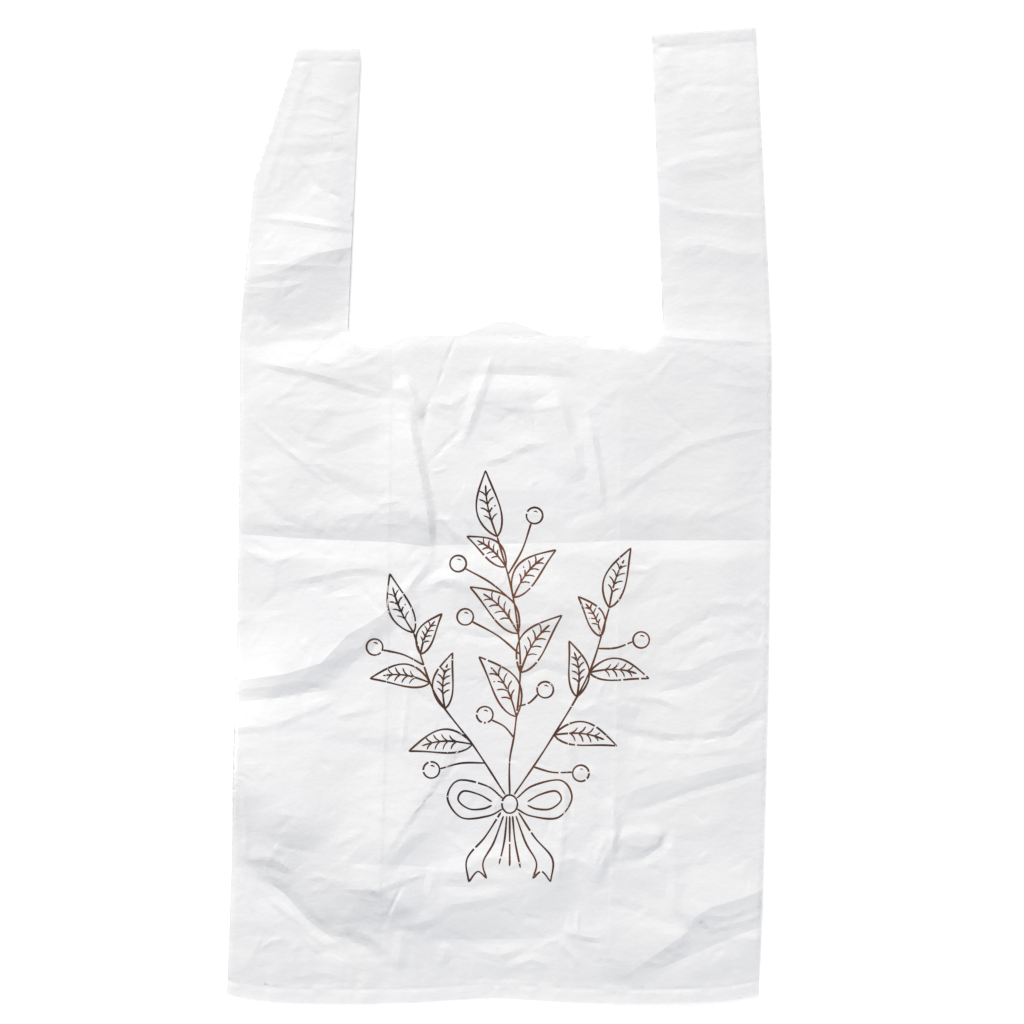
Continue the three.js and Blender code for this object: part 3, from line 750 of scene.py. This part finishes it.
# %% Lay one layer of film
FOLD_BEND = 2.4
REST = 0.1
THINNEST = 0.7
FLAP_REST, FLAP_HEIGHT = 0.15, 0.9


def lay(uv, level, lower_level, upper_level):
    """Positions of a layer. level is its share of the stack's height. Where the film turns round a
    side fold or a tuck, it meets its neighbour halfway, at lower_level or upper_level."""
    u, v = uv[:, 0], uv[:, 1]
    x, y = plan(u, v)
    stack, lift, free = stack_height(u, v, x, y)
    stack = stack + free * crumple(x, y) + puckers(x, y, np.minimum(v, BAG_LENGTH - v))
    stack = np.maximum(stack, THINNEST)
    near_side = np.clip(1 - (HALF - np.abs(u)) / FOLD_BEND, 0, 1)
    near_tuck = np.clip(1 - (np.abs(u) - TUCK) / FOLD_BEND, 0, 1)
    share = level + (lower_level - level) * near_side**2
    share = share + (upper_level - level) * near_tuck**2
    z = REST + lift + share * stack
    past = beyond_fold(x, y)
    flap = (u < 0) & (past > 0)
    x = np.where(flap, x - 2 * past * fold_outwards[0], x)
    y = np.where(flap, y - 2 * past * fold_outwards[1], y)
    z = np.where(flap, FLAP_REST + (1 - share) * FLAP_HEIGHT, z)
    return np.stack([x, y, z], -1) * MM


def fold_line():
    t = np.linspace(0, 1, 40)
    return [tuple(p) for p in np.stack([lerp(*fold_u, t), lerp(*fold_v, t)], -1)]


def weld_lines():
    """Both edges and the middle of each weld, so that the net bends sharply there."""
    offsets = [SEAL_INSET + SEAL_WIDTH * share for share in (-0.5, -0.25, 0, 0.25, 0.5)]
    across = np.linspace(-HALF, HALF, 180)
    return [[(u, v) for u in across] for offset in offsets for v in (offset, BAG_LENGTH - offset)]


# %% Make the bag from its layers
TOP_SPACING, BACK_SPACING, TUCK_SPACING = 1.7, 8.0, 5.5
TOUCHING = 2e-6


def bag_layers():
    """Each layer's name, its net and its levels: its own, then where it turns into the layer beside
    it at the side fold and at the tuck. Levels run from 0, the back film, to 1, the front."""
    plain, tongued = mouth_outline(False), mouth_outline(True)
    folded = [fold_line()]
    creased = list(crisp_lines(TOP_SPACING))
    print("crisp lines:", len(creased), "with", sum(len(line) for line in creased), "points")
    front = net(-HALF, HALF, TOP_SPACING, plain, folded + weld_lines(), creased)
    yield "front", front, (1.0, 5 / 6, 1.0)
    yield "back", net(-HALF, HALF, BACK_SPACING, tongued, folded), (0.0, 1 / 6, 0.0)
    for side, (low, high) in (("left", (-HALF, -TUCK)), ("right", (TUCK, HALF))):
        lines = folded if side == "left" else []
        yield side + " upper tuck", net(low, high, TUCK_SPACING, plain, lines), (2 / 3, 5 / 6, 1 / 2)
        yield side + " lower tuck", net(low, high, TUCK_SPACING, plain, lines), (1 / 3, 1 / 6, 1 / 2)


all_points, all_faces, all_creased = [], [], []
first_free = 0
for label, (uv, triangles, creased), (level, lower_level, upper_level) in bag_layers():
    all_points.append(lay(uv, level, lower_level, upper_level))
    all_faces.append(triangles + first_free)
    all_creased.append(creased + first_free)
    first_free += len(uv)
    print(label, "film:", len(uv), "points,", len(triangles), "triangles")
points = np.concatenate(all_points)
faces = np.concatenate(all_faces)

# %% Join them into one piece, with the crisp lines as sharp edges
mesh = bpy.data.meshes.new("bag_film")
mesh.from_pydata(points.tolist(), [], faces.tolist())
ends = np.zeros(len(mesh.edges) * 2, int)
mesh.edges.foreach_get("vertices", ends)
edge_keys = np.sort(ends.reshape(-1, 2), axis=1) @ [len(points), 1]
crisp_keys = np.sort(np.concatenate(all_creased), axis=1) @ [len(points), 1]
sharp = mesh.attributes.new("sharp_edge", "BOOLEAN", "EDGE")
is_sharp = np.isin(edge_keys, crisp_keys)
sharp.data.foreach_set("value", is_sharp)
sheet_mesh = bmesh.new()
sheet_mesh.from_mesh(mesh)
bmesh.ops.remove_doubles(sheet_mesh, verts=sheet_mesh.verts, dist=TOUCHING)
sheet_mesh.to_mesh(mesh)
sheet_mesh.free()
mesh.polygons.foreach_set("use_smooth", np.ones(len(mesh.polygons), bool))
film = add_object("bag_film", mesh)
print("the bag:", len(mesh.polygons), "triangles,", int(is_sharp.sum()), "sharp edges")

# %% [markdown]
# ## The print
#
# The bag carries a line drawing in one dark ink, a sprig of leaves and berries tied with a ribbon.
# A bag printer lays such ink with a rubber plate, so a line is about a millimetre wide, has round
# ends and misses the film here and there. The lines are drawn as flat curves and dropped onto the
# film from above as narrow strips, so they follow every fold. Drawing them with a texture would
# need an image, or a formula that nobody could read.

# %% Curves of the drawing
BERRY_RADIUS = 4.6


def smooth_line(points, steps=10):
    """A curve through points, as a spline that keeps them."""
    p = np.array(points, float)
    p = np.concatenate([[2 * p[0] - p[1]], p, [2 * p[-1] - p[-2]]])
    t = np.linspace(0, 1, steps, endpoint=False)[:, None]
    spans = [
        0.5 * (2 * b + (c - a) * t + (2 * a - 5 * b + 4 * c - d) * t**2 + (3 * b - a - 3 * c + d) * t**3)
        for a, b, c, d in zip(p, p[1:], p[2:], p[3:])
    ]
    return np.concatenate(spans + [p[-2:-1]])


def turned(points, angle):
    c, s = math.cos(math.radians(angle)), math.sin(math.radians(angle))
    p = np.array(points, float)
    return np.stack([p[:, 0] * c - p[:, 1] * s, p[:, 0] * s + p[:, 1] * c], -1)


def leaf(foot, angle, length, width, veins=4, curl=0.12):
    """A pointed leaf: two sides, a midrib and side veins. angle is its direction, from across."""
    t = np.linspace(0, 1, 15)
    bow = curl * length * np.sin(math.pi * t)
    swell = width / 2 * np.sin(math.pi * t**0.8) * (1 - 0.25 * t)
    rib = np.stack([length * t, bow], -1)
    upper = np.stack([length * t, bow + swell], -1)
    lower = np.stack([length * t, bow - swell], -1)
    lines = [upper, lower, rib[: int(len(rib) * 0.86)]]
    for k in range(1, veins + 1):
        at = 0.12 + 0.62 * k / (veins + 1)
        root = np.array([length * at, curl * length * math.sin(math.pi * at)])
        half = width / 2 * math.sin(math.pi * at**0.8) * (1 - 0.25 * at)
        for side in (1, -1):
            tip = root + np.array([length * 0.1, side * half * 0.66])
            bend = (root + tip) / 2 + np.array([length * 0.015, -side * half * 0.06])
            lines.append(smooth_line([root, bend, tip], 4))
    return [turned(line, angle) + np.array(foot) for line in lines]


def berry(centre, radius, stalk_from):
    angles = np.linspace(0, 2 * math.pi, 25)
    ring = np.stack([np.cos(angles), np.sin(angles)], -1) * radius + np.array(centre)
    centre, stalk_from = np.array(centre, float), np.array(stalk_from, float)
    towards = (stalk_from - centre) / np.linalg.norm(stalk_from - centre)
    rim = centre + towards * radius
    bend = (rim + stalk_from) / 2 + np.array([-towards[1], towards[0]]) * 1.6
    glint = np.stack([np.cos(angles[3:8]), np.sin(angles[3:8])], -1) * radius * 0.55 + centre
    return [ring, smooth_line([stalk_from, bend, rim], 5), glint]


def point_on(line, share):
    steps = np.r_[0, np.cumsum(np.linalg.norm(np.diff(line, axis=0), axis=1))]
    at = share * steps[-1]
    return np.array([np.interp(at, steps, line[:, 0]), np.interp(at, steps, line[:, 1])])


# %% The sprig
def sprig():
    """The whole drawing, in millimetres from the middle of its place on the bag."""
    main = smooth_line([(0, -65), (0, -46), (3, -28), (6, 8), (2, 46), (-7, 80)])
    left_twig = smooth_line([(-2.5, -65), (-20, -38), (-42, -8), (-54, 26)])
    right_twig = smooth_line([(2.5, -65), (22, -36), (44, 2), (56, 40)])
    lines = [main, left_twig, right_twig]
    main_leaves = [(0.30, 122, 40, 17), (0.47, 54, 40, 17), (0.62, 136, 38, 16)]
    main_leaves += [(0.76, 48, 36, 15), (0.88, 142, 28, 12)]
    left_leaves = [(0.32, 186, 36, 15), (0.56, 82, 32, 13), (0.72, 176, 34, 14), (0.88, 62, 26, 11)]
    right_leaves = [(0.34, -10, 36, 15), (0.55, 98, 32, 13), (0.68, -6, 34, 14), (0.86, 120, 26, 11)]
    growth = [
        # stem, leaves as share of the stem, angle, length and width, and the leaf at its tip
        (main, main_leaves, (100, 38, 15)),
        (left_twig, left_leaves, (112, 36, 14)),
        (right_twig, right_leaves, (70, 36, 14)),
    ]
    for stem, leaves, tip in growth:
        for share, angle, length, width in leaves:
            curl = 0.1 if angle < 90 else -0.1
            lines += leaf(point_on(stem, share), angle, length, width, curl=curl)
        lines += leaf(stem[-1], *tip, curl=0.06)
    berries = [(main, 0.22, (-14, -20)), (main, 0.34, (20, -6)), (main, 0.54, (-25, 35))]
    berries += [(main, 0.74, (-29, 65)), (main, 0.85, (14, 92)), (left_twig, 0.2, (-44, -51))]
    berries += [(right_twig, 0.16, (40, -53)), (right_twig, 0.8, (74, 22)), (left_twig, 0.82, (-76, 18))]
    for stem, share, centre in berries:
        lines += berry(centre, BERRY_RADIUS, point_on(stem, share))
    return lines


def ribbon():
    """A bow round the stems, with two loops and two tails."""
    strokes = [
        # points of the right half, and the steps between two of them
        ([(4, -67), (13, -60), (29, -57), (35, -67), (27, -78), (12, -77), (4, -73)], 8),
        ([(10, -69), (17, -65), (26, -63), (29, -68), (23, -73), (15, -73), (10, -71)], 6),
        ([(5, -75), (14, -89), (24, -101), (23, -114)], 8),
        ([(3.5, -77), (9, -92), (15, -103), (13, -112)], 8),
        ([(23, -114), (18, -108), (13, -112)], 4),
    ]
    lines = [smooth_line(np.array(p) * (side, 1), n) for side in (-1, 1) for p, n in strokes]
    knot = np.linspace(0, 2 * math.pi, 21)
    lines.append(np.stack([4.4 * np.cos(knot), 5.2 * np.sin(knot) - 70.3], -1))
    for lean in (-1, 0, 1):
        lines.append(smooth_line([(1.6 * lean, -77), (3 * lean, -91), (6 * lean, -105 - lean)], 6))
    return lines


# %% Lay the lines on the film
PRINT_MIDDLE = (6.0, -92.0)
PRINT_LIFT = 0.03
PRINT_STEP = 1.1
LINE_WIDTH, SHORT_LINE, SHORT_WIDTH = 1.05, 12, 0.8
film_points = [tuple(v.co) for v in mesh.vertices]
film_tree = BVHTree.FromPolygons(film_points, [tuple(p.vertices) for p in mesh.polygons])


def strip(line, width):
    """The two edges of a line of ink: it swells and thins a little, and narrows at its ends."""
    direction = np.gradient(line, axis=0)
    direction /= np.linalg.norm(direction, axis=1, keepdims=True) + 1e-9
    normal = np.stack([-direction[:, 1], direction[:, 0]], -1)
    t = np.linspace(0, 1, len(line))
    closed = np.linalg.norm(line[0] - line[-1]) < 0.5
    to_end = np.minimum(t, 1 - t) * len(t)
    taper = np.ones(len(t)) if closed else np.clip(to_end * 0.6 + 0.45, 0, 1)
    swell = 1 + 0.14 * np.sin(np.arange(len(t)) * 0.31 + line[0, 0])
    half = normal * (width / 2 * taper * swell)[:, None]
    return line + half, line - half


def on_film(point):
    """A point of the drawing, dropped onto the top film from above."""
    x, y = (point + np.array(PRINT_MIDDLE)) * MM
    hit, *_ = film_tree.ray_cast(Vector((x, y, 0.1)), Vector((0, 0, -1)))
    return (x, y, hit.z + PRINT_LIFT * MM)


def skipped(points, seed):
    """True where the ink missed, at a few short gaps."""
    random = np.random.default_rng(seed)
    gaps = np.zeros(len(points), bool)
    for _ in range(random.poisson(len(points) / 90)):
        start = random.integers(3, max(4, len(points) - 3))
        gaps[start : start + 1] = True
    return gaps


def make_print():
    vertices, quads = [], []
    for seed, line in enumerate(sprig() + ribbon()):
        line = resample(np.array(line), PRINT_STEP)
        width = LINE_WIDTH * (SHORT_WIDTH if len(line) < SHORT_LINE else 1)
        missed = skipped(line, seed)
        start = len(vertices)
        for a, b in zip(*strip(line, width)):
            vertices += [on_film(a), on_film(b)]
        quads += [
            (start + 2 * i, start + 2 * i + 1, start + 2 * i + 3, start + 2 * i + 2)
            for i in range(len(line) - 1)
            if not missed[i]
        ]
    ink_mesh = bpy.data.meshes.new("printed_sprig")
    ink_mesh.from_pydata(vertices, [], quads)
    ink_mesh.shade_smooth()
    print("print:", len(quads), "small faces")
    return add_object("printed_sprig", ink_mesh)


printed_sprig = make_print()

# %% [markdown]
# ## Film and ink
#
# The film is white pigment in a slightly waxy plastic: a soft gloss, a faint cloudiness, and a thin
# body that lets a little of what lies behind show through. Blowing and packing leave marks that are
# too fine for the net of triangles, such as tiny wrinkles and dimples. Those go into a bump, which
# the ink takes too, because it is far thinner than the film.

# %% Film marks, a group for both materials
def film_marks():
    """Height of the film's finest marks, in the object's own coordinates, and a faint cloudiness."""
    group = bpy.data.node_groups.new("film marks", "ShaderNodeTree")
    for name, way in (("Dimple", "INPUT"), ("Height", "OUTPUT"), ("Cloud", "OUTPUT")):
        group.interface.new_socket(name, in_out=way, socket_type="NodeSocketFloat")
    nodes, links = group.nodes, group.links
    given = nodes.new("NodeGroupInput")
    result = nodes.new("NodeGroupOutput")
    place = nodes.new("ShaderNodeTexCoord")

    def noise(scale, detail, stretch, roughness=0.5):
        mapping = nodes.new("ShaderNodeMapping")
        mapping.inputs["Scale"].default_value = stretch
        texture = nodes.new("ShaderNodeTexNoise")
        texture.inputs["Scale"].default_value = scale
        texture.inputs["Detail"].default_value = detail
        texture.inputs["Roughness"].default_value = roughness
        links.new(place.outputs["Object"], mapping.inputs["Vector"])
        links.new(mapping.outputs["Vector"], texture.inputs["Vector"])
        return texture.outputs["Fac"]

    def maths(operation, a, b):
        node = nodes.new("ShaderNodeMath")
        node.operation = operation
        for socket, value in zip(node.inputs, (a, b)):
            if isinstance(value, (int, float)):
                socket.default_value = value
            else:
                links.new(value, socket)
        return node.outputs[0]

    def ridges(scale, detail, stretch):
        """Ridges where a noise crosses its middle value, made by the distance from that value."""
        return maths("ABSOLUTE", maths("SUBTRACT", noise(scale, detail, stretch), 0.5), 0)

    fine_ridges = maths("MULTIPLY", ridges(170, 2, (1.2, 1, 1)), 0.5)
    wrinkle = maths("ADD", ridges(60, 3, (1, 1.7, 1)), fine_ridges)
    dimple = maths("MULTIPLY", noise(900, 1, (1, 1, 1)), given.outputs["Dimple"])
    links.new(maths("ADD", wrinkle, dimple), result.inputs["Height"])
    links.new(noise(14, 3, (1, 0.6, 1), 0.6), result.inputs["Cloud"])
    return group


marks = film_marks()


def marked_material(name, dimple, bump_strength, bump_distance, shades, roughness):
    """A material whose normal follows the film's marks, and whose colour runs between two shades
    with its cloudiness. A shade is a place on the ramp and a colour. Returns the shader too."""
    material = bpy.data.materials.new(name)
    material.use_nodes = True
    tree = material.node_tree
    shader = tree.nodes["Principled BSDF"]
    marked = tree.nodes.new("ShaderNodeGroup")
    marked.node_tree = marks
    marked.inputs["Dimple"].default_value = dimple
    bump = tree.nodes.new("ShaderNodeBump")
    bump.inputs["Strength"].default_value = bump_strength
    bump.inputs["Distance"].default_value = bump_distance
    tint = tree.nodes.new("ShaderNodeValToRGB")
    for element, (position, colour) in zip(tint.color_ramp.elements, shades):
        element.position = position
        element.color = (*colour, 1)
    tree.links.new(marked.outputs["Height"], bump.inputs["Height"])
    tree.links.new(bump.outputs["Normal"], shader.inputs["Normal"])
    tree.links.new(marked.outputs["Cloud"], tint.inputs["Fac"])
    tree.links.new(tint.outputs["Color"], shader.inputs["Base Color"])
    shader.inputs["Roughness"].default_value = roughness
    return material, shader


# %% The two materials
FILM_SHADES = ((0.3, (0.868, 0.869, 0.892)), (0.7, (0.904, 0.903, 0.912)))
INK_SHADES = ((0.38, (0.030, 0.011, 0.006)), (0.66, (0.16, 0.055, 0.020)))
white_film, film_shader = marked_material("white film", 0.12, 0.32, 0.0012, FILM_SHADES, 0.32)
film_shader.inputs["IOR"].default_value = 1.5
film_shader.inputs["Alpha"].default_value = 0.86
brown_ink, _ = marked_material("brown ink", 0.3, 0.4, 0.0008, INK_SHADES, 0.45)
film.data.materials.append(white_film)
printed_sprig.data.materials.append(brown_ink)
print("materials:", white_film.name, "and", brown_ink.name)

# %% [markdown]
# ## Table and light
#
# The table is plain white. A wide lamp stands low beyond the handles and a little to the left, so
# that each crease has a light side and a dark side, as in the photo. A small lamp at the left picks
# out the upright folds. A third lamp and the sky fill the shadows, which is why they stay pale and
# slightly blue. The table glows a little for the camera alone, so that it comes out white while the
# bag takes no more light from it.

# %% The table
TABLE_SIZE = 6.0
TABLE_GLOW = 0.5


def table_material():
    material = bpy.data.materials.new("white table")
    material.use_nodes = True
    tree = material.node_tree
    shader = tree.nodes["Principled BSDF"]
    shader.inputs["Base Color"].default_value = (0.9, 0.9, 0.9, 1)
    shader.inputs["Roughness"].default_value = 0.8
    seen = tree.nodes.new("ShaderNodeLightPath")
    glow = tree.nodes.new("ShaderNodeEmission")
    glow.inputs["Strength"].default_value = TABLE_GLOW
    both = tree.nodes.new("ShaderNodeAddShader")
    choice = tree.nodes.new("ShaderNodeMixShader")
    output = tree.nodes["Material Output"]
    tree.links.new(shader.outputs["BSDF"], both.inputs[0])
    tree.links.new(glow.outputs["Emission"], both.inputs[1])
    tree.links.new(seen.outputs["Is Camera Ray"], choice.inputs["Fac"])
    tree.links.new(shader.outputs["BSDF"], choice.inputs[1])
    tree.links.new(both.outputs["Shader"], choice.inputs[2])
    tree.links.new(choice.outputs["Shader"], output.inputs["Surface"])
    return material


bpy.ops.mesh.primitive_plane_add(size=TABLE_SIZE, location=(0, 0, 0))
table = bpy.context.object
table.name = "table"
table.data.materials.append(table_material())
print("table:", TABLE_SIZE, "m wide")


# %% The lamps and the sky
def lamp(name, size, watts, place, colour):
    data = bpy.data.lights.new(name, "AREA")
    data.size = size
    data.energy = watts
    data.color = colour
    light = add_object(name, data)
    light.location = place
    light.rotation_euler = (-Vector(place)).to_track_quat("-Z", "Y").to_euler()
    return light


lamps = [
    lamp("key", 2.2, 885, (-1.4, 7.6, 4.7), (1.0, 0.968, 0.925)),
    lamp("side", 0.8, 12.5, (-1.7, 0.1, 1.2), (1.0, 0.97, 0.93)),
    lamp("fill", 2.4, 44, (1.4, -3.0, 3.4), (0.9, 0.955, 1.0)),
]
world = bpy.data.worlds.new("sky")
bpy.context.scene.world = world
world.use_nodes = True
sky = world.node_tree.nodes["Background"]
sky.inputs["Color"].default_value = (0.9, 0.94, 1.0, 1)
sky.inputs["Strength"].default_value = 0.295
print("lamps:", [f"{light.name} {light.data.energy:g} W" for light in lamps])
bpy.context.scene.view_settings.view_transform = "Standard"

# %% [markdown]
# ## Tied to the solid
#
# The film stands for the solid bag and rides with it. Its flat size is the
# tube's whole girth by its length, and its area leaves out what the punch takes.

# %% Each piece rides with the bag's body
for piece in (film, printed_sprig):
    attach(piece, "root")
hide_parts("carrier_bag")
print("film area, square metres:", round(sum(p.area for p in mesh.polygons), 4))
